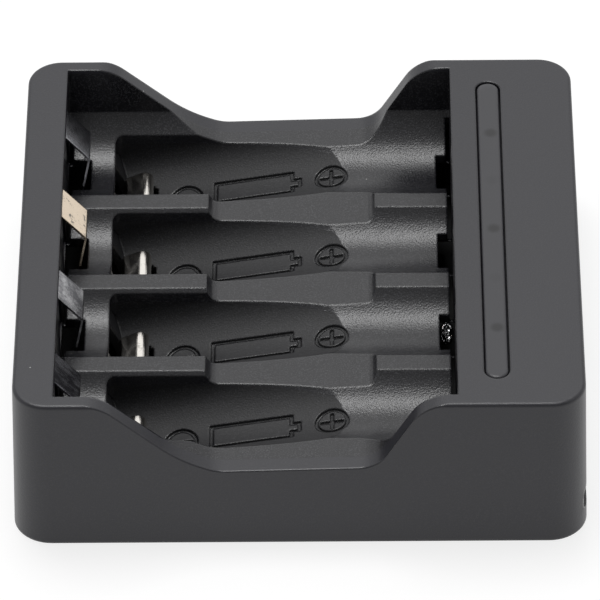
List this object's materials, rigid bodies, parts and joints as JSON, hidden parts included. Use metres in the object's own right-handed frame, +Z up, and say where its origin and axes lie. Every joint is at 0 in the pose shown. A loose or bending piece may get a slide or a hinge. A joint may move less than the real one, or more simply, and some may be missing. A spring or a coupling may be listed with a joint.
{
  "type": "battery charger",
  "caption": "Flat charger with open wells for AA and AAA cells lying side by side, sprung negative contacts, finger dips front and back, and a light bar in the panel beside them.",
  "frame": {"origin": "on the surface it stands on, under the middle of the case", "axes": "+X along the cells towards the panel with the light bar, +Y across the bays towards the back, +Z up"},
  "size_m": [0.0752, 0.0722, 0.0233],
  "materials": {
    "case_plastic": "satin, finely grained",
    "smoked_plastic": "smooth, smoky",
    "board": "satin black solder mask",
    "lamp": "clear, pale",
    "contact_strip": "nickel plated, satin",
    "steel": "zinc plated",
    "part_plastic": "satin"
  },
  "bodies": {
    "case": {"top_shell": "case_plastic", "bottom_cover": "case_plastic", "light_bar": "smoked_plastic", "circuit_board": "board", "led_1": "lamp", "led_2": "lamp", "led_3": "lamp", "led_4": "lamp", "led_5": "lamp", "charge_controller": "part_plastic", "inductor": "part_plastic", "capacitor_1": "part_plastic", "capacitor_2": "part_plastic", "bay_transistor_1": "part_plastic", "bay_transistor_2": "part_plastic", "bay_transistor_3": "part_plastic", "bay_transistor_4": "part_plastic", "usb_socket": "steel", "usb_tongue": "part_plastic", "plus_contact_1": "contact_strip", "plus_contact_2": "contact_strip", "plus_contact_3": "contact_strip", "plus_contact_4": "contact_strip", "cover_screw_1": "steel", "cover_screw_2": "steel", "cover_screw_3": "steel", "cover_screw_4": "steel"},
    "aa_spring_1": {"aa_contact_1": "contact_strip"},
    "aa_spring_2": {"aa_contact_2": "contact_strip"},
    "aa_spring_3": {"aa_contact_3": "contact_strip"},
    "aa_spring_4": {"aa_contact_4": "contact_strip"},
    "aaa_spring_1": {"aaa_contact_1": "contact_strip"},
    "aaa_spring_2": {"aaa_contact_2": "contact_strip"},
    "aaa_spring_3": {"aaa_contact_3": "contact_strip"},
    "aaa_spring_4": {"aaa_contact_4": "contact_strip"}
  },
  "joints": [
    {"name": "aa_contact_1_flex", "type": "hinge", "parent": "case", "child": "aa_spring_1", "pos_m": [-0.0314, 0.0249, 0.003], "axis": [0, -1, 0], "range_deg": [0, 6.5], "stiffness_Nm_per_rad": 0.35},
    {"name": "aa_contact_2_flex", "type": "hinge", "parent": "case", "child": "aa_spring_2", "pos_m": [-0.0314, 0.0083, 0.003], "axis": [0, -1, 0], "range_deg": [0, 6.5], "stiffness_Nm_per_rad": 0.35},
    {"name": "aa_contact_3_flex", "type": "hinge", "parent": "case", "child": "aa_spring_3", "pos_m": [-0.0314, -0.0083, 0.003], "axis": [0, -1, 0], "range_deg": [0, 6.5], "stiffness_Nm_per_rad": 0.35},
    {"name": "aa_contact_4_flex", "type": "hinge", "parent": "case", "child": "aa_spring_4", "pos_m": [-0.0314, -0.0249, 0.003], "axis": [0, -1, 0], "range_deg": [0, 6.5], "stiffness_Nm_per_rad": 0.35},
    {"name": "aaa_contact_1_flex", "type": "slide", "parent": "case", "child": "aaa_spring_1", "axis": [-1, 0, 0], "range_m": [0, 0.003], "stiffness_N_per_m": 600},
    {"name": "aaa_contact_2_flex", "type": "slide", "parent": "case", "child": "aaa_spring_2", "axis": [-1, 0, 0], "range_m": [0, 0.003], "stiffness_N_per_m": 600},
    {"name": "aaa_contact_3_flex", "type": "slide", "parent": "case", "child": "aaa_spring_3", "axis": [-1, 0, 0], "range_m": [0, 0.003], "stiffness_N_per_m": 600},
    {"name": "aaa_contact_4_flex", "type": "slide", "parent": "case", "child": "aaa_spring_4", "axis": [-1, 0, 0], "range_m": [0, 0.003], "stiffness_N_per_m": 600}
  ]
}
